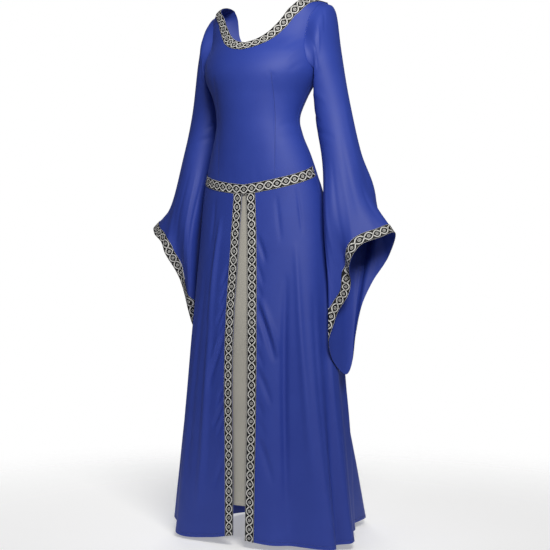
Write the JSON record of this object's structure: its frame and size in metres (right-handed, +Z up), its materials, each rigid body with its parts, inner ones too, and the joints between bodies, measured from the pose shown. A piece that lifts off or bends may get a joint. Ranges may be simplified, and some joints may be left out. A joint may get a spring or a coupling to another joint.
{
  "type": "long gown with bell sleeves",
  "caption": "Long fitted gown, worn and hollow: wide round neck, bell sleeves, open skirt front over a pale panel, ribbon trim at neck, waist, slit and cuffs.",
  "frame": {"origin": "midway between the two shoulder tops, where the gown hangs from its wearer", "axes": "+Z up, the front faces -Y, +X towards the wearer's left"},
  "size_m": [0.7199, 0.4545, 1.4128],
  "materials": {
    "blue_cloth": "royal blue satin-backed crepe with a soft sheen",
    "ivory_cloth": "ivory satin",
    "woven_ribbon": "black woven ribbon with a cream interlaced circle pattern"
  },
  "bodies": {
    "root": {"bodice_front": "blue_cloth", "bodice_back_left": "blue_cloth", "bodice_back_right": "blue_cloth", "skirt_front_left": "blue_cloth", "skirt_front_right": "blue_cloth", "skirt_back_left": "blue_cloth", "skirt_back_right": "blue_cloth", "sleeve_left": "blue_cloth", "sleeve_right": "blue_cloth", "underpanel": "ivory_cloth", "waist_trim": "woven_ribbon", "neck_trim": "woven_ribbon", "slit_trim_left": "woven_ribbon", "slit_trim_right": "woven_ribbon", "cuff_trim_left": "woven_ribbon", "cuff_trim_right": "woven_ribbon"}
  },
  "joints": []
}
